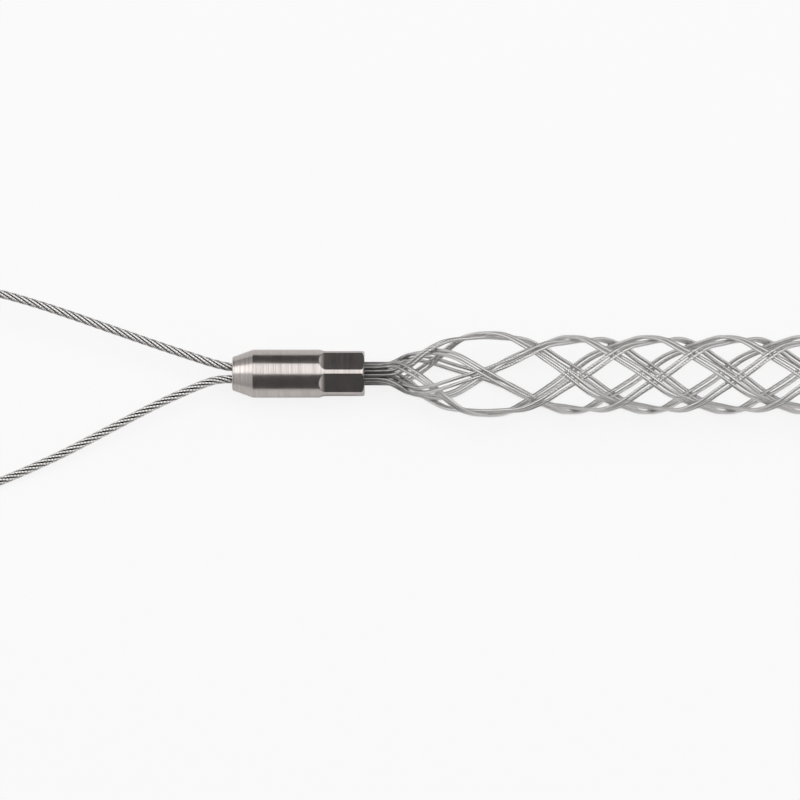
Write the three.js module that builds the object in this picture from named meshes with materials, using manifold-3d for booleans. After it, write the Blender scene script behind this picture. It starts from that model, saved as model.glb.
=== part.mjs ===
// Cable pulling grip: a rope eye that swivels in a steel ferrule, and a stocking woven from pairs of
// wire strand, which tightens on the cable inside it when the eye is pulled.
// Millimetres, +Z up. X runs along the grip, from the eye (-X) to the open mouth (+X).
// It lies on the plane Z = 0. While it is built, X = 0 is the ferrule's tail face.

import * as THREE from "three";
import { mergeVertices } from "three/addons/utils/BufferGeometryUtils.js";
import Module from "manifold-3d";

// Ferrule: a turned sleeve whose tail is crimped to a hexagon round the wires.
const FERRULE_RADIUS = 7;
const FERRULE_LENGTH = 38.5;
const NOSE_FACE_RADIUS = 5;
const NOSE_TAPER = 6;
const NOSE_LIP = 5;
const NOSE_EDGE = 0.5;
const CRIMP_LENGTH = 11.1;
const CRIMP_SHOULDER = 2.1;
const CRIMP_ACROSS_FLATS = 12.65;
const CRIMP_FLATS = 6;
const CRIMP_TURN = THREE.MathUtils.degToRad(-6.1);
const TAIL_EDGE = 1;

// Clearances between neighbours.
const SEAT_GAP = 0.3;
const PLUG_CLEARANCE = 0.4;
const THROAT_CLEARANCE = 0.35;
const WIRE_GAP = 0.05;
const CROSSING_GAP = 0.3;

// Swivel inside the ferrule.
const WASHER_THICKNESS = 1;
const WASHER_RING = 1.45;
const SLEEVE_EDGE = 0.6;
const ROPE_INSET = 0.3;
const PLUG_DISC = 2;
const PLUG_RECESS = 0.8;

// Stocking: four pairs of strand each way, plain weave.
const WIRE_RADIUS = 0.55;
const WIRE_SIDES = 6;
const PAIR_GAP = 0.4;
const LOOPS = 4;
const RUNS = 2 * 2 * LOOPS;
const STOCKING_RADIUS = 11.75;
const ROW_PITCH = 11.55;
const CONE_STRETCH = 1.4;
const ROWS = 22;
const ROW_TURN = THREE.MathUtils.degToRad(-22.5);
const CONE_START = 4;
const CONE_LENGTH = 27;
const OPENING_RUN = 8;
const PAIR_RUN = 14;
const PARTING_ROW = 0.53;
const PARTING_LAYER = 0.7;
const BULGE = 0.95;
const BULGE_AT = 38;
const BULGE_REACH = 18;
const SIDEWAYS = 1.2;
const CREST_RADIUS = 6;
const CREST_STEPS = 5;

// Eye rope: one steel rope, out of the ferrule's nose, round and back. Its points outside the nose are
// [X from the nose face, sideways].
const ROPE_RADIUS = 1.25;
const ROPE_SIDES = 8;
const ROPE_STEPS = 76;
const LEG_OFFSET = 1.6;
const NOSE_LEG_OFFSET = 1.85;
const EYE_ROUTE = [
  [-4.8, 2.8],
  [-12.5, 5.2],
  [-22.2, 8.4],
  [-36.1, 13.2],
  [-50, 18],
  [-60.5, 21.3],
  [-67.5, 23.2],
  [-75.5, 24.9],
  [-82, 25.5],
  [-89.8, 24.5],
  [-97, 21.5],
  [-103.2, 16.7],
  [-108, 10.5],
  [-111, 3.3],
  [-112, -4.5],
  [-111, -12.3],
  [-108, -19.5],
  [-103.2, -25.7],
  [-97, -30.5],
  [-89.8, -33.5],
  [-82, -34.5],
  [-75.5, -33.8],
  [-67.5, -31.3],
  [-60.5, -28.4],
  [-50, -23.6],
  [-36.1, -16.4],
  [-25.7, -10.9],
  [-18.7, -7.5],
  [-8.3, -3],
  [-4.8, -1.95],
];

// Facets.
const TURNED_SIDES = 48;
const EDGE_STEPS = 3;
const INTEGRATION_STEP = 1 / 16;

const QUARTER_STEP = 0.25;
const ROW_ANGLE = Math.PI / LOOPS;
const LIFT = WIRE_RADIUS + CROSSING_GAP / 2;
const MESH_RADIUS = STOCKING_RADIUS - LIFT - WIRE_RADIUS;
const BUNDLE_RADIUS = (WIRE_RADIUS + WIRE_GAP / 2) / Math.sin(Math.PI / RUNS);
const RING_PITCH = (2 * Math.PI * BUNDLE_RADIUS) / RUNS;
const PAIR_PITCH = 2 * WIRE_RADIUS + PAIR_GAP;
const MESH_AXIS_HEIGHT = (MESH_RADIUS + LIFT) * Math.cos(ROW_ANGLE * QUARTER_STEP) + WIRE_RADIUS;
const HEADING = Math.atan((MESH_RADIUS * ROW_ANGLE) / ROW_PITCH);

const NOSE_X = -FERRULE_LENGTH;
const CHAMBER_FRONT = NOSE_X + NOSE_LIP;
const CRIMP_FRONT = -CRIMP_LENGTH - CRIMP_SHOULDER;
const THROAT_RADIUS = NOSE_LEG_OFFSET + ROPE_RADIUS + THROAT_CLEARANCE;
const WASHER_RADIUS = THROAT_RADIUS + WASHER_RING;
const CHAMBER_RADIUS = WASHER_RADIUS + SEAT_GAP;
const TAIL_BORE_RADIUS = BUNDLE_RADIUS + WIRE_RADIUS + SEAT_GAP;
const SPIGOT_RADIUS = BUNDLE_RADIUS - WIRE_RADIUS - SEAT_GAP;
const WASHER_FRONT = CHAMBER_FRONT + SEAT_GAP;
const SLEEVE_FRONT = WASHER_FRONT + WASHER_THICKNESS + SEAT_GAP;
const PLUG_BACK = CRIMP_FRONT - PLUG_CLEARANCE;
const PLUG_FRONT = PLUG_BACK - PLUG_DISC;
const SLEEVE_BACK = PLUG_FRONT - SEAT_GAP;
const WIRE_END = PLUG_BACK + SEAT_GAP;

const wasm = await Module();
wasm.setup();

// A closed geometry as a solid that can be cut.
function solidOf(geometry) {
  const bare = geometry.clone();
  bare.deleteAttribute("normal");
  bare.deleteAttribute("uv");
  const merged = mergeVertices(bare);
  return new wasm.Manifold(
    new wasm.Mesh({
      numProp: 3,
      vertProperties: merged.attributes.position.array,
      triVerts: new Uint32Array(merged.index.array),
    }),
  );
}

function geometryOf(solid) {
  const mesh = solid.getMesh();
  const geometry = new THREE.BufferGeometry();
  geometry.setAttribute("position", new THREE.BufferAttribute(mesh.vertProperties, 3));
  geometry.setIndex(new THREE.BufferAttribute(mesh.triVerts, 1));
  geometry.computeVertexNormals();
  return geometry;
}

// Points of a rounded edge: an arc about [x, r] from one angle to another.
function roundedEdge(x, r, radius, from, to) {
  return Array.from({ length: EDGE_STEPS + 1 }, (_, i) => {
    const angle = from + ((to - from) * i) / EDGE_STEPS;
    return [x + radius * Math.cos(angle), r + radius * Math.sin(angle)];
  });
}

// Turns a closed profile of [x, radius] points about the X axis.
function turned(profile) {
  const points = profile.map(([x, radius]) => new THREE.Vector2(radius, x));
  return new THREE.LatheGeometry(points, TURNED_SIDES).rotateZ(-Math.PI / 2);
}

// One flat of the crimp, as the die that presses it: flat over the tail, fading out at the shoulder.
function crimpDie() {
  const flat = CRIMP_ACROSS_FLATS / 2;
  const clear = FERRULE_RADIUS + CRIMP_SHOULDER;
  const tail = TAIL_EDGE;
  const die = new THREE.Shape();
  die.moveTo(tail, flat);
  die.lineTo(tail, clear);
  die.lineTo(CRIMP_FRONT, clear);
  die.lineTo(CRIMP_FRONT, FERRULE_RADIUS);
  die.quadraticCurveTo(-CRIMP_LENGTH - CRIMP_SHOULDER / 2, flat, -CRIMP_LENGTH, flat);
  die.closePath();
  const width = 2 * FERRULE_RADIUS;
  const block = new THREE.ExtrudeGeometry(die, { depth: width, bevelEnabled: false, curveSegments: 6 });
  return block.translate(0, 0, -width / 2);
}

function ferruleGeometry() {
  const half = Math.PI / 2;
  const profile = [
    [CHAMBER_FRONT, THROAT_RADIUS],
    [NOSE_X + NOSE_EDGE, THROAT_RADIUS],
    [NOSE_X, THROAT_RADIUS + NOSE_EDGE],
    ...roundedEdge(NOSE_X + NOSE_EDGE, NOSE_FACE_RADIUS - NOSE_EDGE, NOSE_EDGE, Math.PI, half),
    [NOSE_X + NOSE_TAPER, FERRULE_RADIUS],
    ...roundedEdge(-TAIL_EDGE, FERRULE_RADIUS - TAIL_EDGE, TAIL_EDGE, half, 0),
    [0, TAIL_BORE_RADIUS],
    [-CRIMP_LENGTH, TAIL_BORE_RADIUS],
    [CRIMP_FRONT, CHAMBER_RADIUS],
    [CHAMBER_FRONT, CHAMBER_RADIUS],
    [CHAMBER_FRONT, THROAT_RADIUS],
  ];
  let body = solidOf(turned(profile));
  for (let i = 0; i < CRIMP_FLATS; i += 1) {
    const die = crimpDie();
    // The corners lie half a flat away from the dies.
    const turn = (2 * Math.PI * (i + 1 / 2)) / CRIMP_FLATS + CRIMP_TURN;
    die.rotateX(half - turn);
    body = body.subtract(solidOf(die));
  }
  return geometryOf(body);
}

// The ring that the swivel turns against, round the two legs of the rope.
function washerGeometry() {
  const back = WASHER_FRONT + WASHER_THICKNESS;
  return turned([
    [WASHER_FRONT, THROAT_RADIUS],
    [WASHER_FRONT, WASHER_RADIUS],
    [back, WASHER_RADIUS],
    [back, THROAT_RADIUS],
    [WASHER_FRONT, THROAT_RADIUS],
  ]);
}

// The sleeve that is pressed on the rope's two ends, with one slot for both legs.
function sleeveGeometry() {
  const blank = turned([
    [SLEEVE_FRONT, 0],
    [SLEEVE_FRONT, WASHER_RADIUS - SLEEVE_EDGE],
    [SLEEVE_FRONT + SLEEVE_EDGE, WASHER_RADIUS],
    [SLEEVE_BACK - SLEEVE_EDGE, WASHER_RADIUS],
    [SLEEVE_BACK, WASHER_RADIUS - SLEEVE_EDGE],
    [SLEEVE_BACK, 0],
  ]);
  const round = ROPE_RADIUS + SEAT_GAP;
  const slot = new THREE.Shape();
  slot.absarc(0, LEG_OFFSET, round, 0, Math.PI, false);
  slot.absarc(0, -LEG_OFFSET, round, Math.PI, 2 * Math.PI, false);
  const cutter = new THREE.ExtrudeGeometry(slot, {
    depth: SLEEVE_BACK - SLEEVE_FRONT + 2 * SLEEVE_EDGE,
    bevelEnabled: false,
    curveSegments: 8,
  });
  cutter.rotateY(Math.PI / 2).translate(SLEEVE_FRONT - SLEEVE_EDGE, 0, 0);
  return geometryOf(solidOf(blank).subtract(solidOf(cutter)));
}

// The plug that closes the swivel's chamber. The wires lie round its spigot, inside the crimp.
function plugGeometry() {
  return turned([
    [PLUG_FRONT, 0],
    [PLUG_FRONT, WASHER_RADIUS],
    [PLUG_BACK, WASHER_RADIUS],
    [PLUG_BACK, SPIGOT_RADIUS],
    [-PLUG_RECESS, SPIGOT_RADIUS],
    [-PLUG_RECESS, 0],
  ]);
}

// A path of straight stretches whose sections fall on the points themselves.
class BentPath extends THREE.Curve {
  constructor(points) {
    super();
    this.points = points;
  }

  getPoint(t, target = new THREE.Vector3()) {
    const last = this.points.length - 2;
    const along = t * (last + 1);
    const i = Math.min(Math.floor(along), last);
    return target.lerpVectors(this.points[i], this.points[i + 1], along - i);
  }

  getPointAt(u, target) {
    return this.getPoint(u, target);
  }

  getTangentAt(u, target) {
    return this.getTangent(u, target);
  }
}

function polygon(radius, sides) {
  const corners = Array.from({ length: sides }, (_, i) => {
    const angle = (2 * Math.PI * i) / sides;
    return new THREE.Vector2(radius * Math.cos(angle), radius * Math.sin(angle));
  });
  return new THREE.Shape(corners);
}

function sweptRod(path, steps, radius, sides) {
  return new THREE.ExtrudeGeometry(polygon(radius, sides), {
    extrudePath: path,
    steps,
    bevelEnabled: false,
  });
}

// The two legs lie in the sleeve's slot, and the eye is between them.
function eyeRopeGeometry() {
  const end = SLEEVE_BACK - ROPE_INSET;
  const middle = (SLEEVE_FRONT + SLEEVE_BACK) / 2;
  const outside = EYE_ROUTE.map(([x, y]) => [NOSE_X + x, y]);
  const route = [
    [end, LEG_OFFSET],
    [middle, LEG_OFFSET],
    [SLEEVE_FRONT, LEG_OFFSET],
    [NOSE_X, NOSE_LEG_OFFSET],
    ...outside,
    [NOSE_X, -LEG_OFFSET],
    [SLEEVE_FRONT, -LEG_OFFSET],
    [middle, -LEG_OFFSET],
    [end, -LEG_OFFSET],
  ];
  const path = new THREE.CatmullRomCurve3(route.map(([x, y]) => new THREE.Vector3(x, y, 0)));
  return sweptRod(path, ROPE_STEPS, ROPE_RADIUS, ROPE_SIDES);
}

// How far the stocking has opened at x, from 0 in the ferrule to 1 past the cone.
function openingAt(x) {
  const t = THREE.MathUtils.clamp((x - CONE_START) / CONE_LENGTH, 0, 1);
  return t * t * (3 - 2 * t);
}

// The slight bulge where the cone meets the straight stocking.
function bulgeAt(x) {
  const t = THREE.MathUtils.clamp((x - BULGE_AT) / BULGE_REACH, -1, 1);
  return (BULGE / 2) * (1 + Math.cos(Math.PI * t));
}

function radiusAt(x) {
  return BUNDLE_RADIUS + (MESH_RADIUS - BUNDLE_RADIUS) * openingAt(x) + bulgeAt(x);
}

function axisHeightAt(x) {
  const rise = (MESH_AXIS_HEIGHT - FERRULE_RADIUS) * openingAt(x);
  return FERRULE_RADIUS + rise + bulgeAt(x) * Math.cos(ROW_ANGLE * QUARTER_STEP);
}

// The soft stocking lies a little to one side of the ferrule.
function axisSidewaysAt(x) {
  return -SIDEWAYS * openingAt(x);
}

// The two wires of a pair touch in the ferrule and lie a little apart in the stocking.
function pairPitchAt(x) {
  const t = THREE.MathUtils.clamp((x - CONE_START) / PAIR_RUN, 0, 1);
  return RING_PITCH + (PAIR_PITCH - RING_PITCH) * t;
}

// How far apart along X the rows lie at x: close together in the cone, widest at the bulge.
function rowPitchAt(x) {
  return ROW_PITCH * (radiusAt(x) / MESH_RADIUS) ** CONE_STRETCH;
}

// Where along X a strand has wound so many rows. Rows are where the strands cross.
function stationOf(row) {
  if (row <= 1) {
    return CONE_START + OPENING_RUN * Math.cbrt(2 * row - 1);
  }
  let x = CONE_START + OPENING_RUN;
  for (let wound = 1; wound < row; wound += INTEGRATION_STEP) {
    x += INTEGRATION_STEP * rowPitchAt(x);
  }
  return x;
}

// The way a strand heads in the unrolled stocking: 0 is along the axis.
function headingAt(row, x) {
  const t = (x - CONE_START) / OPENING_RUN;
  const pitch = row <= 1 ? (2 * OPENING_RUN) / (3 * t * t) : rowPitchAt(x);
  return Math.atan((radiusAt(x) * ROW_ANGLE) / pitch);
}

// One strand pair from the ferrule to its last crossing, as stations with an angle about the axis.
// Strands that wind with x are over at odd rows, and those that wind back are over at even rows.
// They part into two layers just before the first crossing, where the wires still touch.
function runStations() {
  const parting = stationOf(PARTING_ROW);
  const stations = [
    { x: WIRE_END, turn: 1 / 2, heading: 0, layer: 0 },
    { x: CONE_START, turn: 1 / 2, heading: 0, layer: 0 },
    { x: parting, turn: PARTING_ROW, heading: headingAt(PARTING_ROW, parting), layer: PARTING_LAYER },
  ];
  for (let row = 1; row <= ROWS; row += 1) {
    const layer = row % 2 === 1 ? 1 : -1;
    for (const turn of [row - QUARTER_STEP, row + QUARTER_STEP]) {
      const x = stationOf(turn);
      stations.push({ x, turn, heading: headingAt(turn, x), layer });
    }
  }
  return stations;
}

// The rounded loop at the mouth, between two crossings of the last row.
function crestStations() {
  const tip = stationOf(ROWS) + ROW_PITCH;
  const middle = tip - CREST_RADIUS / Math.sin(HEADING);
  return Array.from({ length: CREST_STEPS + 1 }, (_, i) => {
    const heading = HEADING + ((Math.PI - 2 * HEADING) * i) / CREST_STEPS;
    const x = middle + CREST_RADIUS * Math.sin(heading);
    const sideways = (-CREST_RADIUS * Math.cos(heading)) / MESH_RADIUS;
    return { x, turn: ROWS + 1 + sideways / ROW_ANGLE, heading, layer: 0 };
  });
}

// A whole wire: out along one run, round the crest and back along the other. Side 1 is the outer wire.
function wirePoints(loop, side) {
  const out = runStations();
  const crestTurn = 2 * (ROWS + 1);
  const back = out.map(({ x, turn, heading, layer }) => ({
    x,
    turn: crestTurn - turn,
    heading: Math.PI - heading,
    layer: -layer,
  }));
  const route = [...out, ...crestStations(), ...back.reverse()];
  const start = ROW_TURN + 2 * loop * ROW_ANGLE;
  return route.map(({ x, turn, heading, layer }) => {
    const offset = (side * pairPitchAt(x)) / 2;
    const along = x + offset * Math.sin(heading);
    const radius = radiusAt(along) + LIFT * layer;
    const angle = start + turn * ROW_ANGLE - (offset * Math.cos(heading)) / radius;
    return new THREE.Vector3(
      along,
      axisSidewaysAt(along) + radius * Math.sin(angle),
      axisHeightAt(along) + radius * Math.cos(angle),
    );
  });
}

function wireGeometry(loop, side) {
  const points = wirePoints(loop, side);
  return sweptRod(new BentPath(points), points.length - 1, WIRE_RADIUS, WIRE_SIDES);
}

function part(name, geometry, color, roughness, metalness) {
  const material = new THREE.MeshStandardMaterial({ color, roughness, metalness, flatShading: true });
  const mesh = new THREE.Mesh(geometry, material);
  mesh.name = name;
  return mesh;
}

// The eye and its sleeve turn together in the ferrule. At rest one side of the eye is on the table.
function eye() {
  const lowest = Math.min(...EYE_ROUTE.map(([, y]) => y));
  const group = new THREE.Group();
  group.add(
    part("eye_rope", eyeRopeGeometry(), 0x8f8d88, 0.4, 0.9),
    part("eye_rope_stop_sleeve", sleeveGeometry(), 0xa7a39b, 0.35, 0.9),
  );
  group.position.z = FERRULE_RADIUS;
  group.rotation.x = Math.asin((FERRULE_RADIUS - ROPE_RADIUS) / -lowest);
  return group;
}

function swivelHousing() {
  const group = new THREE.Group();
  group.add(
    part("ferrule", ferruleGeometry(), 0xb9aca4, 0.28, 1),
    part("thrust_washer", washerGeometry(), 0xb08a4a, 0.35, 0.9),
    part("core_plug", plugGeometry(), 0x9a9792, 0.4, 0.9),
  );
  group.position.z = FERRULE_RADIUS;
  return group;
}

function stocking() {
  const group = new THREE.Group();
  for (let loop = 0; loop < LOOPS; loop += 1) {
    const name = "mesh_wire_" + (loop + 1);
    group.add(
      part(name + "_outer", wireGeometry(loop, 1), 0x84817c, 0.38, 0.95),
      part(name + "_inner", wireGeometry(loop, -1), 0x84817c, 0.38, 0.95),
    );
  }
  return group;
}

// The origin is under the middle of the whole grip, on the surface that it lies on.
function grip() {
  const group = new THREE.Group();
  group.add(eye(), swivelHousing(), stocking());
  const box = new THREE.Box3().setFromObject(group, true);
  const centre = box.getCenter(new THREE.Vector3());
  group.position.set(-centre.x, -centre.y, -box.min.z);
  return group;
}

export default grip();
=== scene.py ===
# %% [markdown]
# A cable pulling grip has three things to show: a bright turned ferrule, an eye of thin steel rope that
# swivels in its nose, and a stocking woven from pairs of wire strand. The solid model gives every piece
# its place. This script gives them their surfaces: real twisted wires, and a steel that was turned and
# then pressed. Everything is in metres, and the grip lies along X on the plane Z = 0.

# %% Load the grip
import math

import bpy
import numpy as np
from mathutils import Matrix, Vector


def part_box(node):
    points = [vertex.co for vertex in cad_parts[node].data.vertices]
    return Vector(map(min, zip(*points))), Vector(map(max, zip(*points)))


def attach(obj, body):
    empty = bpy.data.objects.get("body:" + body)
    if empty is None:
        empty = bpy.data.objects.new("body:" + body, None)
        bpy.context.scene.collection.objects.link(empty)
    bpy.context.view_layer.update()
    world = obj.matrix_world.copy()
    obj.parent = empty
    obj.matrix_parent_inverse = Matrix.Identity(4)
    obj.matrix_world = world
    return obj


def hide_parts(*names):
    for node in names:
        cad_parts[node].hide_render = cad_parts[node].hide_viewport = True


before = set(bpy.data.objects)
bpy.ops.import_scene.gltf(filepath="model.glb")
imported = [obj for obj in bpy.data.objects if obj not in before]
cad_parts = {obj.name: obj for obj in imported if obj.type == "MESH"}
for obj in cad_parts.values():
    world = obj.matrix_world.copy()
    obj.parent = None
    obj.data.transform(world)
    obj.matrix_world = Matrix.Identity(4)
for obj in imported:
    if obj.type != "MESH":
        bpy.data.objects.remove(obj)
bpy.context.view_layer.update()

MM = 0.001

# %% [markdown]
# The ferrule is the piece that all the others are held by, so their places are worked out from it: its
# tail face, where the wires come out, its nose, where the eye comes out, and the axis between the two.

# %% Where the ferrule lies
ferrule_low, ferrule_high = [Vector(corner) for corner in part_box("ferrule")]
tail_x = ferrule_high.x
nose_x = ferrule_low.x
axis_y = (ferrule_low.y + ferrule_high.y) / 2
axis_z = (ferrule_low.z + ferrule_high.z) / 2
ferrule_radius = (ferrule_high.y - ferrule_low.y) / 2
print("ferrule axis at y %.2f, z %.2f mm" % (axis_y / MM, axis_z / MM))

# %% [markdown]
# The picture looks down on the grip from a little in front of it, with hardly any perspective. A camera
# without perspective would do that too, but a long lens from far away keeps the slight narrowing that a
# real picture has. The lens is set by how much of the grip the picture takes in: the ferrule is 132 of
# its 800 pixels long. The aim is set by where the ferrule's tail face and axis lie in it.

# %% Camera
PICTURE_PIXELS = 800
FERRULE_PIXELS = 132
TAIL_PIXEL = 364.5
AXIS_PIXEL = 373.6
LOOKING_DOWN = math.radians(79.3)
CAMERA_DISTANCE = 1.6
SENSOR_WIDTH = 36
SEEN_TO = 10

pixel = (tail_x - nose_x) / FERRULE_PIXELS
image_up = Vector((0, math.sin(LOOKING_DOWN), math.cos(LOOKING_DOWN)))
to_camera = Vector((0, -math.cos(LOOKING_DOWN), math.sin(LOOKING_DOWN)))
aim = Vector((tail_x + (PICTURE_PIXELS / 2 - TAIL_PIXEL) * pixel, axis_y, axis_z))
aim -= image_up * (PICTURE_PIXELS / 2 - AXIS_PIXEL) * pixel

lens = bpy.data.cameras.new("camera")
lens.sensor_width = SENSOR_WIDTH
lens.lens = SENSOR_WIDTH * CAMERA_DISTANCE / (PICTURE_PIXELS * pixel)
lens.clip_end = SEEN_TO
camera = bpy.data.objects.new("camera", lens)
camera.location = aim + to_camera * CAMERA_DISTANCE
camera.rotation_euler = (math.pi / 2 - LOOKING_DOWN, 0, 0)
bpy.context.collection.objects.link(camera)
bpy.context.scene.camera = camera
bpy.context.scene.view_settings.view_transform = "Standard"
print("picture is %.0f mm wide, lens %.0f mm" % (PICTURE_PIXELS * pixel / MM, lens.lens))

# %% [markdown]
# A rope or a strand is a section swept along a line. Blender's curves can bevel a section, but the twist
# of a curve is set point by point, and here it has to follow the length evenly. So the sweep is done
# with arrays: a ring of points at each place of the line, turned a little more each time, and faces
# between one ring and the next.

# %% Sweep a section along a line
def mesh_piece(name, points, faces, smooth=True, heights=None):
    """An object from arrays of points and faces; heights are 0 in a groove and 1 on a ridge."""
    mesh = bpy.data.meshes.new(name)
    mesh.from_pydata([tuple(p) for p in points], [], faces)
    mesh.validate()
    mesh.polygons.foreach_set("use_smooth", [smooth] * len(mesh.polygons))
    mesh.update()
    if heights is not None:
        mesh.attributes.new("height", "FLOAT", "POINT").data.foreach_set("value", heights)
    piece = bpy.data.objects.new(name, mesh)
    bpy.context.collection.objects.link(piece)
    return piece


def ring_faces(rings, sides, first=0):
    """Faces between rings that follow each other, with a cap at both ends."""
    faces = []
    for i in range(rings - 1):
        low = first + i * sides
        for j in range(sides):
            k = (j + 1) % sides
            faces.append((low + j, low + k, low + sides + k, low + sides + j))
    faces.append(tuple(first + j for j in reversed(range(sides))))
    last = first + (rings - 1) * sides
    faces.append(tuple(last + j for j in range(sides)))
    return faces


def unit(vectors):
    """The same directions, each of length 1."""
    return vectors / np.linalg.norm(vectors, axis=1, keepdims=True)


def even_line(points, spacing):
    """The same line, with points at even distances along it."""
    steps = np.linalg.norm(np.diff(points, axis=0), axis=1)
    along = np.concatenate([[0], np.cumsum(steps)])
    count = max(2, int(round(along[-1] / spacing)) + 1)
    places = np.linspace(0, along[-1], count)
    line = np.stack([np.interp(places, along, points[:, i]) for i in range(3)], axis=1)
    return line, places


def sweep(line, outward, angles, radii, turns):
    """Rings of points: a section of angles and radii, turned by turns radians, square to the line."""
    tangent = unit(np.gradient(line, axis=0))
    side = unit(np.cross(tangent, outward))
    up = np.cross(side, tangent)
    around = angles[None, :] + turns[:, None]
    reach = radii[None, :, None]
    rings = line[:, None, :] + reach * (
        np.cos(around)[:, :, None] * up[:, None, :] + np.sin(around)[:, :, None] * side[:, None, :]
    )
    return rings.reshape(-1, 3)


# %% [markdown]
# A strand is six wires twisted round a seventh. Seen from outside, its section is six round lobes that
# meet in grooves. Where two of the outer wires touch, the outline is at its deepest. Drawing and wear
# flatten the wires and grease fills the grooves, so only a part of that depth is left open. The same
# grooves could be a bump in the material, but then the outline would stay smooth in close views.

# %% The outline of a seven-wire strand
LOBES = 6
POINTS_PER_LOBE = 3
OPEN_DEPTH = 0.4


def strand_section(radius):
    """Angles and radii of the outline of six wires round one, all of a third of the strand's size."""
    wire = radius / 3
    centre = radius - wire
    step = 2 * math.pi / LOBES / POINTS_PER_LOBE
    angles = []
    radii = []
    for lobe in range(LOBES):
        for i in range(POINTS_PER_LOBE):
            off = -math.pi / LOBES + i * step
            half_chord = max(0.0, wire**2 - (centre * math.sin(off)) ** 2)
            angles.append(lobe * 2 * math.pi / LOBES + off)
            radii.append(centre * math.cos(off) + math.sqrt(half_chord))
    return np.array(angles), radius - OPEN_DEPTH * (radius - np.array(radii))


def section_heights(radii):
    """How high each point of a section is, from 0 in its grooves to 1 on its ridges."""
    return (radii - radii.min()) / (radii.max() - radii.min())


unit_angles, unit_radii = strand_section(1)
print(len(unit_angles), "points, grooves are %.2f of the radius deep" % (1 - unit_radii.min()))

# %% [markdown]
# The eye rope leaves the nose as two legs, a little apart, opens into a drop shape and comes back. Its
# route outside is the list of points below, in metres, as distance from the nose's face and distance
# sideways. Inside, its legs lie side by side. The grip lies on a table, so the eye is turned a little
# about the ferrule's axis until its wider side rests there too. A curve through the points is timed by
# the root of each stretch, which keeps it from swinging out where they lie close together.

# %% The eye rope's route
ROPE_DIAMETER = 2.5 * MM
LEG_OFFSET = 1.6 * MM
NOSE_LEG_OFFSET = 1.85 * MM
LEG_PLACES = (22.3 * MM, 14.5 * MM, 6.5 * MM)
EYE_ROUTE = [
    (-0.0048, 0.0028),
    (-0.0125, 0.0052),
    (-0.0222, 0.0084),
    (-0.0361, 0.0132),
    (-0.05, 0.018),
    (-0.0605, 0.0213),
    (-0.0675, 0.0232),
    (-0.0755, 0.0249),
    (-0.082, 0.0255),
    (-0.0898, 0.0245),
    (-0.097, 0.0215),
    (-0.1032, 0.0167),
    (-0.108, 0.0105),
    (-0.111, 0.0033),
    (-0.112, -0.0045),
    (-0.111, -0.0123),
    (-0.108, -0.0195),
    (-0.1032, -0.0257),
    (-0.097, -0.0305),
    (-0.0898, -0.0335),
    (-0.082, -0.0345),
    (-0.0755, -0.0338),
    (-0.0675, -0.0313),
    (-0.0605, -0.0284),
    (-0.05, -0.0236),
    (-0.0361, -0.0164),
    (-0.0257, -0.0109),
    (-0.0187, -0.0075),
    (-0.0083, -0.003),
    (-0.0048, -0.00195),
]
ROUTE_STEPS = 24
ROUTE_SPACING = 0.5 * MM

eye_turn = math.asin((ferrule_radius - ROPE_DIAMETER / 2) / -min(v for _, v in EYE_ROUTE))


def eye_place(x, sideways):
    """A point of the eye's own plane, in the frame of the whole grip."""
    across = sideways * math.cos(eye_turn)
    return (nose_x + x, axis_y + across, axis_z + sideways * math.sin(eye_turn))


def smooth_route(points, per_stretch):
    """A curve through the points, each stretch timed by the root of its length."""
    p = np.array(points)
    p = np.vstack([2 * p[0] - p[1], p, 2 * p[-1] - p[-2]])
    out = []
    for a, b, c, d in zip(p, p[1:], p[2:], p[3:]):
        t0 = 0.0
        t1 = t0 + math.sqrt(np.linalg.norm(b - a))
        t2 = t1 + math.sqrt(np.linalg.norm(c - b))
        t3 = t2 + math.sqrt(np.linalg.norm(d - c))
        t = np.linspace(t1, t2, per_stretch, endpoint=False)[:, None]
        ab = (t1 - t) / (t1 - t0) * a + (t - t0) / (t1 - t0) * b
        bc = (t2 - t) / (t2 - t1) * b + (t - t1) / (t2 - t1) * c
        cd = (t3 - t) / (t3 - t2) * c + (t - t2) / (t3 - t2) * d
        abc = (t2 - t) / (t2 - t0) * ab + (t - t0) / (t2 - t0) * bc
        bcd = (t3 - t) / (t3 - t1) * bc + (t - t1) / (t3 - t1) * cd
        out.append((t2 - t) / (t2 - t1) * abc + (t - t1) / (t2 - t1) * bcd)
    out.append(p[-2:-1])
    return np.vstack(out)


leg_out = [(x, LEG_OFFSET) for x in LEG_PLACES] + [(0, NOSE_LEG_OFFSET)]
leg_back = [(0, -LEG_OFFSET)] + [(x, -LEG_OFFSET) for x in reversed(LEG_PLACES)]
eye_points = [eye_place(x, sideways) for x, sideways in leg_out + EYE_ROUTE + leg_back]
eye_line, eye_along = even_line(smooth_route(eye_points, ROUTE_STEPS), ROUTE_SPACING)
print("eye rope is %.0f mm long" % (eye_along[-1] / MM))

# %% [markdown]
# The rope is six strands round a core strand, and each strand is itself of wires. Each strand is swept
# along a helix about the route, so the light catches real ridges and the outline is as uneven as a
# rope's. The wires run back against the lay of the strands, nearly along the rope. All of it is one
# piece, because it is one rope. The strands are pressed into each other by a few hundredths, and each
# point keeps its height above the groove between two strands, which the metal needs later.

# %% Lay up the eye rope
ROPE_LAY = 17 * MM
ROPE_STRANDS = 6
STRAND_TO_ROPE_LAY = 0.42

STRANDS_PRESSED = 1.04
CORE_PRESSED = 1.05
CORE_SIDES = 8
GROOVE_REACH = 2.5
RIDGE_REACH = 3

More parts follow.
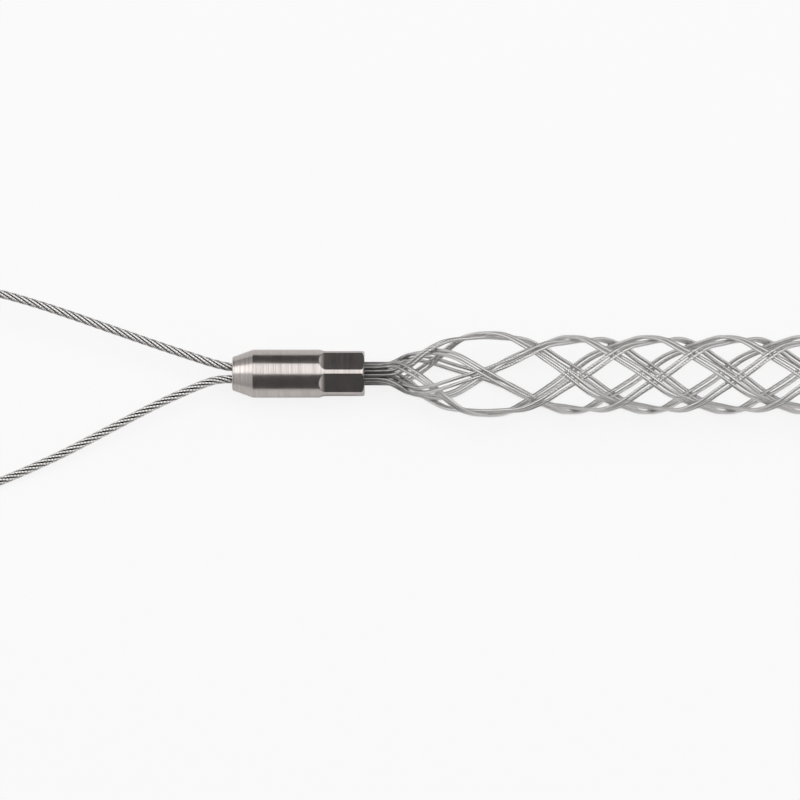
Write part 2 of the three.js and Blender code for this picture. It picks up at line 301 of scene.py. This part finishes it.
strand_radius = ROPE_DIAMETER / 6
eye_normal = np.tile((0, -math.sin(eye_turn), math.cos(eye_turn)), (len(eye_line), 1))
eye_tangent = unit(np.gradient(eye_line, axis=0))
eye_side = np.cross(eye_tangent, eye_normal)
rope_points = []
rope_faces = []
rope_heights = []
angles, radii = strand_section(strand_radius * STRANDS_PRESSED)
for strand in range(ROPE_STRANDS):
    turn = 2 * math.pi * (eye_along / ROPE_LAY + strand / ROPE_STRANDS)
    outward = np.cos(turn)[:, None] * eye_normal + np.sin(turn)[:, None] * eye_side
    line = eye_line + 2 * strand_radius * outward
    twist = 2 * math.pi * eye_along / (ROPE_LAY * STRAND_TO_ROPE_LAY)
    first = sum(len(p) for p in rope_points)
    rings = sweep(line, outward, angles, radii, twist)
    rope_points.append(rings)
    rope_faces += ring_faces(len(line), len(angles), first)
    reach = np.linalg.norm(rings - np.repeat(eye_line, len(angles), axis=0), axis=1) / strand_radius
    rope_heights.append(np.clip((reach - GROOVE_REACH) / (RIDGE_REACH - GROOVE_REACH), 0, 1))

core_angles = np.linspace(0, 2 * math.pi, CORE_SIDES, endpoint=False)
core_radii = np.full(CORE_SIDES, strand_radius * CORE_PRESSED)
first = sum(len(p) for p in rope_points)
no_twist = np.zeros(len(eye_line))
rope_points.append(sweep(eye_line, eye_normal, core_angles, core_radii, no_twist))
rope_faces += ring_faces(len(eye_line), CORE_SIDES, first)
rope_heights.append(np.zeros(len(eye_line) * CORE_SIDES))
eye_rope = mesh_piece(
    "eye_rope_laid", np.vstack(rope_points), rope_faces, heights=np.concatenate(rope_heights)
)
print("eye rope has", len(rope_faces), "faces")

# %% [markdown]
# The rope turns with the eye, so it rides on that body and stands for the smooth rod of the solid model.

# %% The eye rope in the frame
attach(eye_rope, "swivel_eye")
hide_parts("eye_rope")
print(eye_rope.name, "rides on the swivel eye")

# %% [markdown]
# The stocking is a plain weave on a round form: four pairs of strand wind one way and four the other,
# over one and under the next. A row is a ring of four crossings, and from row to row a strand goes on
# by an eighth of a turn. The stocking opens from the bundle in the ferrule through a cone, with a
# slight bulge, and it lies on the table, so its axis rises as it widens. A modifier could repeat one
# diamond of the weave, but the cone makes every diamond different, so the form is written as functions
# of the distance from the ferrule's tail face.

# %% The stocking's form
WIRE_RADIUS = 0.55 * MM
LOOPS = 4
ROWS = 21
ROW_PITCH = 11.35 * MM
CONE_STRETCH = 0.5
WIDE_STRETCH = 0.66
WIDE_AT = 34 * MM
ROW_ANGLE = math.pi / LOOPS
ROW_TURN = math.radians(22.5)
STOCKING_RADIUS = 11.75 * MM
SOLID_LIFT = 0.73 * MM
MESH_RADIUS = STOCKING_RADIUS - SOLID_LIFT - WIRE_RADIUS
TOUCHING_PITCH = 1.15 * MM
BUNDLE_RADIUS = TOUCHING_PITCH / 2 / math.sin(math.pi / (4 * LOOPS))
PAIR_PITCH = 1.5 * MM
CONE_START = 4 * MM
CONE_LENGTH = 25 * MM
OPENING_RUN = 7 * MM
PAIR_RUN = 14 * MM
PARTING_RUN = 6.4 * MM
BULGE = 0.95 * MM
BULGE_AT = 38 * MM
SWELL_REACH = 18 * MM
SIDEWAYS = 1.2 * MM
TWIST = math.radians(17)
TWIST_FROM = 20 * MM
TWIST_TO = 75 * MM
NECK_TWIST = math.radians(20)
NECK_FROM = 6 * MM
NECK_TO = 36 * MM
HEADING = math.atan(MESH_RADIUS * ROW_ANGLE / ROW_PITCH)
LOWEST = math.cos(ROW_ANGLE / 4)
MESH_AXIS_HEIGHT = (MESH_RADIUS + SOLID_LIFT) * LOWEST + WIRE_RADIUS


def ease(x, start, end):
    """From 0 to 1 between two places, smooth at both."""
    t = np.clip((x - start) / (end - start), 0, 1)
    return t * t * (3 - 2 * t)


def opening(x):
    """From 0 in the bundle to 1 where the cone ends."""
    return ease(x, CONE_START, CONE_START + CONE_LENGTH)


def swell(x, middle):
    """A smooth swelling from 0 to 1 and back, about a place."""
    t = np.clip((x - middle) / SWELL_REACH, -1, 1)
    return (1 + np.cos(math.pi * t)) / 2


def bulge(x):
    """How much the bulge adds to the radius."""
    return BULGE * swell(x, BULGE_AT)


def stocking_radius(x):
    """From the stocking's axis to the middle of its two layers."""
    return BUNDLE_RADIUS + (MESH_RADIUS - BUNDLE_RADIUS) * opening(x) + bulge(x)


def stocking_axis(x):
    """The stocking's middle: it lies a little to one side, and rises as the stocking widens."""
    height = axis_z + (MESH_AXIS_HEIGHT - ferrule_radius) * opening(x) + bulge(x) * LOWEST
    return np.stack([tail_x + x, axis_y - SIDEWAYS * opening(x), height], axis=-1)


print("strands lie %.1f degrees from the axis" % math.degrees(HEADING))

# %% [markdown]
# The rows lie close together where the cone is narrow, and widest apart just before the bulge. The
# stations are found by stepping from row to row. Before the first crossing the strands lie straight in
# the bundle, and turn away slowly.

# %% Where the rows lie
ROW_STEP = 1 / 16
BARELY_OPEN = 0.01
row_steps = np.arange(1, ROWS + ROW_STEP, ROW_STEP)
row_places = [CONE_START + OPENING_RUN]


def row_pitch(x):
    """How far it is from one row to the next, at a place along the axis."""
    cone = np.minimum(stocking_radius(x) / MESH_RADIUS, 1) ** CONE_STRETCH
    return ROW_PITCH * cone * (1 + WIDE_STRETCH * swell(x, WIDE_AT))


for _ in row_steps[1:]:
    row_places.append(row_places[-1] + ROW_STEP * float(row_pitch(row_places[-1])))


def station(row):
    """Where along the axis a strand has wound so many rows."""
    before = CONE_START + OPENING_RUN * np.cbrt(np.clip(2 * row - 1, 0, 1))
    return np.where(row <= 1, before, np.interp(row, row_steps, row_places))


def heading(row, x):
    """The strand's angle to the axis in the unrolled stocking."""
    # before the first row, the pitch is the slope of the cube root in station()
    t = np.maximum((x - CONE_START) / OPENING_RUN, BARELY_OPEN)
    pitch = np.where(row <= 1, OPENING_RUN / (1.5 * t * t), row_pitch(x))
    return np.arctan(stocking_radius(x) * ROW_ANGLE / pitch)


def layer(row, x):
    """1 where the strand is over, -1 where it is under; flat on each crossing, quick between them."""
    c = np.cos(math.pi * row)
    parting = ease(x, CONE_START, CONE_START + PARTING_RUN)
    return np.where(row <= 1, -parting, c * (1.5 - 0.5 * c * c))


print("last row is %.0f mm from the ferrule" % (row_places[-1] / MM))

# %% [markdown]
# Each wire is one length: out from the ferrule, round a loop at the mouth, and back. A pair is two such
# wires side by side, one on the outside of every bend and one on the inside. The loop at the mouth is an
# arc that meets both runs, drawn in the unrolled stocking, where it is simple. Then the whole route is
# rolled up round the axis.

# %% The route of one wire
CREST_RADIUS = 6 * MM
WIRE_START = -13 * MM
LIFT = 0.6 * MM
START_ROW = 0.5
STEPS_PER_ROW = 48
CREST_STEPS = 48


def twist_at(x):
    """The stocking is twisted next to the ferrule, most of all in its neck."""
    neck = NECK_TWIST * (1 - ease(x, NECK_FROM, NECK_TO))
    return neck + TWIST * (1 - ease(x, TWIST_FROM, TWIST_TO))


def wire_line(loop, side):
    """Points of one wire's centre."""
    rows = np.linspace(START_ROW, ROWS, ROWS * STEPS_PER_ROW)
    x = station(rows)
    tip = row_places[-1] + ROW_PITCH
    bends = np.linspace(HEADING, math.pi - HEADING, CREST_STEPS)
    arc_x = tip - CREST_RADIUS / math.sin(HEADING) + CREST_RADIUS * np.sin(bends)
    arc_turn = ROWS + 1 - CREST_RADIUS * np.cos(bends) / MESH_RADIUS / ROW_ANGLE
    # each column: how many rows it has wound, its place along the axis, its heading, its layer
    run = np.array([rows, x, heading(rows, x), layer(rows, x)])
    run = np.insert(run, 0, (START_ROW, WIRE_START, 0, 0), axis=1)
    fade = np.cos(bends) / math.cos(HEADING)
    crest = np.array([arc_turn, arc_x, bends, layer(arc_turn, arc_x) * fade])
    past = np.array([2 * (ROWS + 1) - run[0], run[1], math.pi - run[2], -run[3]])[:, ::-1]
    turn, x, bend, over = np.hstack([run, crest, past])
    parted = np.clip((x - CONE_START) / PAIR_RUN, 0, 1)
    ring_pitch = 2 * math.pi * BUNDLE_RADIUS / (4 * LOOPS)
    offset = side * (ring_pitch + (PAIR_PITCH - ring_pitch) * parted) / 2
    along = x + offset * np.sin(bend)
    radius = stocking_radius(along) + LIFT * over
    angle = ROW_TURN + (2 * loop + turn) * ROW_ANGLE + twist_at(along)
    angle -= offset * np.cos(bend) / radius
    outward = np.stack([np.zeros_like(angle), np.sin(angle), np.cos(angle)], axis=1)
    return stocking_axis(along) + radius[:, None] * outward


one_wire = wire_line(0, 1)
print("one wire is %.0f mm long" % (np.linalg.norm(np.diff(one_wire, axis=0), axis=1).sum() / MM))

# %% [markdown]
# The wires of the stocking are strands too, so they get the same lobed section. Its twist is short, and
# a ring for every twelfth of a turn is enough to keep the ridges even.

# %% Weave the stocking
STRAND_LAY = 4.8 * MM
RINGS_PER_LAY = 12


def strand_along(points, radius, lay):
    """Points, faces and heights of a twisted strand whose line winds about the stocking's axis."""
    line, along = even_line(points, lay / RINGS_PER_LAY)
    outward = unit(line - stocking_axis(line[:, 0] - tail_x))
    angles, radii = strand_section(radius)
    rings = sweep(line, outward, angles, radii, 2 * math.pi * along / lay)
    return rings, ring_faces(len(line), len(angles)), np.tile(section_heights(radii), len(line))


stocking_wires = []
for loop in range(LOOPS):
    for side, name in ((1, "outer"), (-1, "inner")):
        points, faces, heights = strand_along(wire_line(loop, side), WIRE_RADIUS, STRAND_LAY)
        node = "mesh_wire_%d_%s" % (loop + 1, name)
        wire = mesh_piece(node + "_strand", points, faces, heights=heights)
        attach(wire, "grip_body")
        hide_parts(node)
        stocking_wires.append(wire)
print("stocking has", sum(len(w.data.polygons) for w in stocking_wires), "faces")

# %% [markdown]
# The ferrule is a turned sleeve that was pressed to a hexagon over the wires. Turning gives round rings,
# and pressing clips them: at each place along the tail, a ring is round where the die did not reach and
# straight where it did. The die fades out at the shoulder, so the flats run out in a curve. A boolean
# with a hexagon would leave a hard step there, so the rings are clipped one by one.

# %% The ferrule's rings
CRIMP_LENGTH = 11.1 * MM
CRIMP_SHOULDER = 2.1 * MM
FLAT_DISTANCE = 6.325 * MM
CRIMP_TURN = math.radians(-6.1)
FLATS = 6
PER_FLAT = 40
NOSE_EDGE = 0.5 * MM
TAIL_EDGE = 1 * MM
NOSE_FACE = 5 * MM
NOSE_TAPER = 6 * MM
NOSE_LIP = 5 * MM
THROAT = 3.45 * MM
TAIL_BORE = 3.8 * MM
CHAMBER = 5.2 * MM
EDGE_STEPS = 9
SHOULDER_STEPS = 16
FERRULE_LENGTH = tail_x - nose_x


def rounded(x, r, radius, start, end):
    """Points of a rounded edge in the profile."""
    turn = np.linspace(start, end, EDGE_STEPS)
    return [(x + radius * math.cos(a), r + radius * math.sin(a)) for a in turn]


def die_height(x):
    """How far from the axis the die's face is; past its shoulder it is clear of the sleeve."""
    t = np.clip((-CRIMP_LENGTH - x) / CRIMP_SHOULDER, 0, 1)
    return FLAT_DISTANCE + (ferrule_radius - FLAT_DISTANCE) * t * t + (t >= 1) * ferrule_radius


front = -FERRULE_LENGTH
quarter_turn = math.pi / 2
outside = rounded(front + NOSE_EDGE, NOSE_FACE - NOSE_EDGE, NOSE_EDGE, math.pi, quarter_turn)
outside += [(front + NOSE_TAPER, ferrule_radius), (-CRIMP_LENGTH - CRIMP_SHOULDER, ferrule_radius)]
shoulder = np.linspace(-CRIMP_LENGTH - CRIMP_SHOULDER, -CRIMP_LENGTH, SHOULDER_STEPS)[1:]
outside += [(x, ferrule_radius) for x in shoulder]
outside += rounded(-TAIL_EDGE, ferrule_radius - TAIL_EDGE, TAIL_EDGE, quarter_turn, 0)
inside = [
    (0, TAIL_BORE),
    (-CRIMP_LENGTH, TAIL_BORE),
    (-CRIMP_LENGTH - CRIMP_SHOULDER, CHAMBER),
    (front + NOSE_LIP, CHAMBER),
    (front + NOSE_LIP, THROAT),
    (front + NOSE_EDGE, THROAT),
    (front, THROAT + NOSE_EDGE),
]
print("ferrule profile has", len(outside) + len(inside), "points")

# %% [markdown]
# Every ring has the same number of points, so that rings join face by face: forty across each flat, and
# one in the round corner between two flats. The last ring of the bore joins the first one of the nose,
# which closes the skin. Faces that meet at a small angle are shaded as one, and the edges of the flats
# stay sharp.

# %% Turn and press the ferrule
SMOOTH_BELOW = math.radians(14)

flat_step = 2 * math.pi / FLATS
land_edge = math.acos(FLAT_DISTANCE / ferrule_radius)
in_flat = np.linspace(-land_edge, land_edge, PER_FLAT)
around = np.concatenate([
    np.append(in_flat, flat_step / 2) + CRIMP_TURN + (i + 0.5) * flat_step for i in range(FLATS)
])
from_flat = (around - CRIMP_TURN) % flat_step - flat_step / 2


def ferrule_ring(x, radius, pressed):
    """One ring of the ferrule, clipped by the die where it is pressed."""
    reach = np.full(len(around), radius)
    if pressed:
        reach = np.minimum(reach, die_height(x) / np.cos(from_flat))
    return np.stack([
        np.full(len(around), tail_x + x),
        axis_y + reach * np.sin(around),
        axis_z + reach * np.cos(around),
    ], axis=1)


rings = [ferrule_ring(x, r, True) for x, r in outside] + [ferrule_ring(x, r, False) for x, r in inside]
sides = len(around)
ferrule_faces = []
for i in range(len(rings)):
    low = i * sides
    high = (i + 1) % len(rings) * sides
    for j in range(sides):
        k = (j + 1) % sides
        ferrule_faces.append((low + j, high + j, high + k, low + k))
ferrule = mesh_piece("ferrule_turned", np.vstack(rings), ferrule_faces)
bpy.context.view_layer.objects.active = ferrule
ferrule.select_set(True)
bpy.ops.object.shade_smooth_by_angle(angle=SMOOTH_BELOW)
ferrule.select_set(False)
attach(ferrule, "grip_body")
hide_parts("ferrule")
print("ferrule has", len(ferrule_faces), "faces")

# %% [markdown]
# Nearly all of this is steel, but each piece shows it in its own way. A small helper starts a metal with
# its colour and gloss, and each finish then adds what its making left on it. Noises on the object's own
# coordinates do that without a picture, and they stay on the piece from every side.

# %% A plain metal to start from
def metal(name, colour, roughness):
    """A metal material, with its nodes, links and shader."""
    material = bpy.data.materials.new(name)
    material.use_nodes = True
    nodes = material.node_tree.nodes
    links = material.node_tree.links
    shader = nodes["Principled BSDF"]
    shader.inputs["Base Color"].default_value = (*colour, 1)
    shader.inputs["Metallic"].default_value = 1
    shader.inputs["Roughness"].default_value = roughness
    return material, nodes, links, shader


def coordinates(nodes, links, stretch):
    """The object's own coordinates, stretched along each axis."""
    place = nodes.new("ShaderNodeTexCoord")
    mapping = nodes.new("ShaderNodeMapping")
    mapping.inputs["Scale"].default_value = stretch
    links.new(place.outputs["Object"], mapping.inputs["Vector"])
    return mapping.outputs["Vector"]


def noise(nodes, links, vector, scale, detail=3):
    """A noise from 0 to 1, finer with a larger scale."""
    texture = nodes.new("ShaderNodeTexNoise")
    texture.inputs["Scale"].default_value = scale
    texture.inputs["Detail"].default_value = detail
    links.new(vector, texture.inputs["Vector"])
    return texture.outputs["Fac"]


def ramp(nodes, links, value, dark, light, low=0.35, high=0.65):
    """Two colours blended by a value."""
    blend = nodes.new("ShaderNodeValToRGB")
    blend.color_ramp.elements[0].position = low
    blend.color_ramp.elements[1].position = high
    blend.color_ramp.elements[0].color = (*dark, 1)
    blend.color_ramp.elements[1].color = (*light, 1)
    links.new(value, blend.inputs["Fac"])
    return blend.outputs["Color"]


def spread(nodes, links, value, low, high, start=0, end=1):
    """A value mapped from start to end onto low to high."""
    fit = nodes.new("ShaderNodeMapRange")
    fit.inputs["From Min"].default_value = start
    fit.inputs["From Max"].default_value = end
    fit.inputs["To Min"].default_value = low
    fit.inputs["To Max"].default_value = high
    links.new(value, fit.inputs["Value"])
    return fit.outputs["Result"]


def times(nodes, links, first, second):
    """Two values multiplied."""
    product = nodes.new("ShaderNodeMath")
    product.operation = "MULTIPLY"
    links.new(first, product.inputs[0])
    links.new(second, product.inputs[1])
    return product.outputs["Value"]


def bump(nodes, links, shader, height, strength, distance):
    """Fine relief on the shader's surface."""
    node = nodes.new("ShaderNodeBump")
    node.inputs["Strength"].default_value = strength
    node.inputs["Distance"].default_value = distance
    links.new(height, node.inputs["Height"])
    links.new(node.outputs["Normal"], shader.inputs["Normal"])


print("a metal is ready to be finished")

# %% [markdown]
# Turning leaves fine rings round the ferrule, so its marks change quickly along X and hardly at all
# round it. A noise that is stretched that way gives both their colour and their relief. Handling leaves
# soft stains that only show in the gloss.

# %% Turned steel
ALONG_X = (1, 0.02, 0.02)
EVENLY = (1, 1, 1)
RINGS_SCALE = 4200
STAINS_SCALE = 260
RING_DEPTH = 0.02 * MM
TURNED_COLOUR = (0.62, 0.57, 0.55)
DARK_RINGS = (0.52, 0.475, 0.455)
BRIGHT_RINGS = (0.68, 0.63, 0.605)
TURNED_GLOSS = (0.16, 0.3)

turned_steel, nodes, links, shader = metal("turned_steel", TURNED_COLOUR, TURNED_GLOSS[1])
rings_of_turning = noise(nodes, links, coordinates(nodes, links, ALONG_X), RINGS_SCALE, 4)
stains = noise(nodes, links, coordinates(nodes, links, EVENLY), STAINS_SCALE, 4)
links.new(
    ramp(nodes, links, rings_of_turning, DARK_RINGS, BRIGHT_RINGS),
    shader.inputs["Base Color"],
)
links.new(spread(nodes, links, stains, *TURNED_GLOSS), shader.inputs["Roughness"])
bump(nodes, links, shader, rings_of_turning, 0.35, RING_DEPTH)
ferrule.data.materials.append(turned_steel)
print("turned steel on", ferrule.name)

# %% [markdown]
# Drawn wire is bright on its ridges, and its grooves get painted shade: a dark colour in place of the
# shade that falls there. The heights that the strands carry tell the two apart, a noise breaks up the
# line between them, and a finer noise varies the gloss. Next to the crimp the strands get more painted
# shade, where the wires shade each other, so they are darker there.

# %% Drawn wire
UNEVEN_SHADE_SCALE = 900
UNEVEN_SHADE_RANGE = (0.7, 1.3)
GRAIN_SCALE = 5000
GRAIN_DEPTH = 0.01 * MM
# How far the painted shade reaches from the crimp, and how much of the colour it leaves at the tail.
CRIMP_SHADE_REACH = 26 * MM
LEFT_IN_CRIMP_SHADE = 0.36


def drawn_wire(name, groove, ridge, reach, gloss, shaded_by_crimp=False):
    """A wire's metal: its ridge colour, the painted shade of its grooves, the heights that they reach,
    its range of roughness, and painted shade by the crimp.
    """
    material, nodes, links, shader = metal(name, ridge, gloss[1])
    vector = coordinates(nodes, links, EVENLY)
    uneven_shade = spread(nodes, links, noise(nodes, links, vector, UNEVEN_SHADE_SCALE, 4), *UNEVEN_SHADE_RANGE)
    # The height attribute sets the painted shade: the colour darkens toward the grooves.
    height = nodes.new("ShaderNodeAttribute")
    height.attribute_name = "height"
    unshaded = times(nodes, links, height.outputs["Fac"], uneven_shade)
    # Painted shade next to the crimp, where the wires shade each other: darker towards the ferrule's
    # tail.
    if shaded_by_crimp:
        along = nodes.new("ShaderNodeSeparateXYZ")
        links.new(vector, along.inputs["Vector"])
        crimp_shade_run = (tail_x, tail_x + CRIMP_SHADE_REACH)
        out_of_crimp_shade = spread(nodes, links, along.outputs["X"], LEFT_IN_CRIMP_SHADE, 1, *crimp_shade_run)
        unshaded = times(nodes, links, unshaded, out_of_crimp_shade)
    # The groove colour is painted shade; the ridge colour is the steel's own.
    tone = ramp(nodes, links, unshaded, groove, ridge, *reach)
    links.new(tone, shader.inputs["Base Color"])
    grain = noise(nodes, links, vector, GRAIN_SCALE, 2)
    links.new(spread(nodes, links, grain, *gloss), shader.inputs["Roughness"])
    bump(nodes, links, shader, grain, 0.2, GRAIN_DEPTH)
    return material


# The groove colours below are painted shade.
rope_steel = drawn_wire(
    "rope_steel",
    groove=(0.04, 0.038, 0.036),
    ridge=(0.95, 0.93, 0.91),
    reach=(0.1, 0.5),
    gloss=(0.28, 0.46),
)
eye_rope.data.materials.append(rope_steel)
strand_steel = drawn_wire(
    "strand_steel",
    groove=(0.05, 0.048, 0.046),
    ridge=(1, 0.985, 0.97),
    reach=(0.12, 0.72),
    gloss=(0.18, 0.32),
    shaded_by_crimp=True,
)
for wire in stocking_wires:
    wire.data.materials.append(strand_steel)
print("drawn wire on", 1 + len(stocking_wires), "pieces")

# %% [markdown]
# Inside the ferrule are a bronze washer, the sleeve on the rope's ends and the plug. They are turned
# pieces that hardly show, so the solid model's own shapes stay and only get their metal.

# %% The pieces inside
DULL = 0.32


def turned_metal(name, dark, light):
    """A dull turned metal between two colours."""
    material, nodes, links, shader = metal(name, light, DULL)
    marks = noise(nodes, links, coordinates(nodes, links, ALONG_X), RINGS_SCALE)
    links.new(ramp(nodes, links, marks, dark, light), shader.inputs["Base Color"])
    bump(nodes, links, shader, marks, 0.3, RING_DEPTH)
    return material


bronze = turned_metal("bronze", (0.42, 0.28, 0.13), (0.60, 0.42, 0.22))
plain_steel = turned_metal("plain_steel", (0.40, 0.39, 0.37), (0.56, 0.55, 0.53))
for node, finish in (
    ("thrust_washer", bronze),
    ("core_plug", plain_steel),
    ("eye_rope_stop_sleeve", plain_steel),
):
    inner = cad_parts[node]
    inner.data.materials.clear()
    inner.data.materials.append(finish)
    print(finish.name, "on", node)

# %% [markdown]
# The grip lies on a plain pale table. The table's colour makes the background, and it catches the soft
# shadow that shows where the grip touches it. Seen by the camera, most of the table is a plain white
# glow, which whitens the background and puts no more light on the steel. What the steel itself reflects
# is the paint.

# %% Table
TABLE_REACH = 3
TABLE_GLOW = 0.84
TABLE_COLOUR = (0.92, 0.92, 0.92, 1)
TABLE_ROUGHNESS = 0.8
TABLE_SHINE = 0.2
WHITE = (1, 1, 1, 1)

corner_signs = ((-1, -1), (1, -1), (1, 1), (-1, 1))
table_corners = [(x * TABLE_REACH, y * TABLE_REACH, 0) for x, y in corner_signs]
table = mesh_piece("table", table_corners, [(0, 1, 2, 3)], smooth=False)
table_paint = bpy.data.materials.new("table_paint")
table_paint.use_nodes = True
nodes = table_paint.node_tree.nodes
links = table_paint.node_tree.links
paint = nodes["Principled BSDF"]
paint.inputs["Base Color"].default_value = TABLE_COLOUR
paint.inputs["Roughness"].default_value = TABLE_ROUGHNESS
paint.inputs["Specular IOR Level"].default_value = TABLE_SHINE
glow = nodes.new("ShaderNodeEmission")
glow.inputs["Color"].default_value = WHITE
glow.inputs["Strength"].default_value = 1
seen = nodes.new("ShaderNodeLightPath")
share = nodes.new("ShaderNodeMath")
share.operation = "MULTIPLY"
share.inputs[1].default_value = TABLE_GLOW
links.new(seen.outputs["Is Camera Ray"], share.inputs[0])
mixed = nodes.new("ShaderNodeMixShader")
links.new(share.outputs["Value"], mixed.inputs["Fac"])
links.new(paint.outputs["BSDF"], mixed.inputs[1])
links.new(glow.outputs["Emission"], mixed.inputs[2])
links.new(mixed.outputs["Shader"], nodes["Material Output"].inputs["Surface"])
table.data.materials.append(table_paint)
print("table is", 2 * TABLE_REACH, "m across")

# %% [markdown]
# Metal shows its surroundings, so a studio for steel needs light and dark in them. One wide soft lamp
# overhead draws the bright band along the ferrule. Several small lamps would draw several thin lines
# instead. The lamp is long in X, so that the slanted nose finds it too.

# %% Studio light
def soft_lamp(name, place, size, power):
    """A rectangular lamp that points at the middle of the picture."""
    lamp = bpy.data.lights.new(name, "AREA")
    lamp.shape = "RECTANGLE"
    lamp.size, lamp.size_y = size
    lamp.energy = power
    holder = bpy.data.objects.new(name, lamp)
    holder.location = place
    holder.rotation_euler = (aim - Vector(place)).to_track_quat("-Z", "Y").to_euler()
    bpy.context.collection.objects.link(holder)


LAMP_PLACE = (0, 0.29, 1.3)
LAMP_SIZE = (3.0, 1.28)
LAMP_POWER = 15
soft_lamp("lamp_over", LAMP_PLACE, LAMP_SIZE, LAMP_POWER)
print("lamp is %.2f m above the table" % LAMP_PLACE[2])

# %% [markdown]
# The sky is a ramp over how far a direction points along the grip. It is dark across the grip, which
# draws the dark bands beside the lamp's, and bright beyond both ends, where the slanting wires find it.
# From above, only reflections show it, because the table fills the picture.

# %% Sky
DARK_UNTIL = 0.45
DARK_SKY = (0.07, 0.07, 0.07, 1)
BRIGHT_SKY = (1.3, 1.3, 1.3, 1)

world = bpy.data.worlds.new("studio")
bpy.context.scene.world = world
world.use_nodes = True
nodes = world.node_tree.nodes
links = world.node_tree.links
direction = nodes.new("ShaderNodeTexCoord")
axes = nodes.new("ShaderNodeSeparateXYZ")
links.new(direction.outputs["Generated"], axes.inputs["Vector"])
lengthwise = nodes.new("ShaderNodeMath")
lengthwise.operation = "ABSOLUTE"
links.new(axes.outputs["X"], lengthwise.inputs[0])
sky = nodes.new("ShaderNodeValToRGB")
sky.color_ramp.interpolation = "B_SPLINE"
sky.color_ramp.elements[0].position = DARK_UNTIL
sky.color_ramp.elements[0].color = DARK_SKY
sky.color_ramp.elements[1].position = 1
sky.color_ramp.elements[1].color = BRIGHT_SKY
links.new(lengthwise.outputs["Value"], sky.inputs["Fac"])
backdrop = nodes["Background"]
links.new(sky.outputs["Color"], backdrop.inputs["Color"])
backdrop.inputs["Strength"].default_value = 1
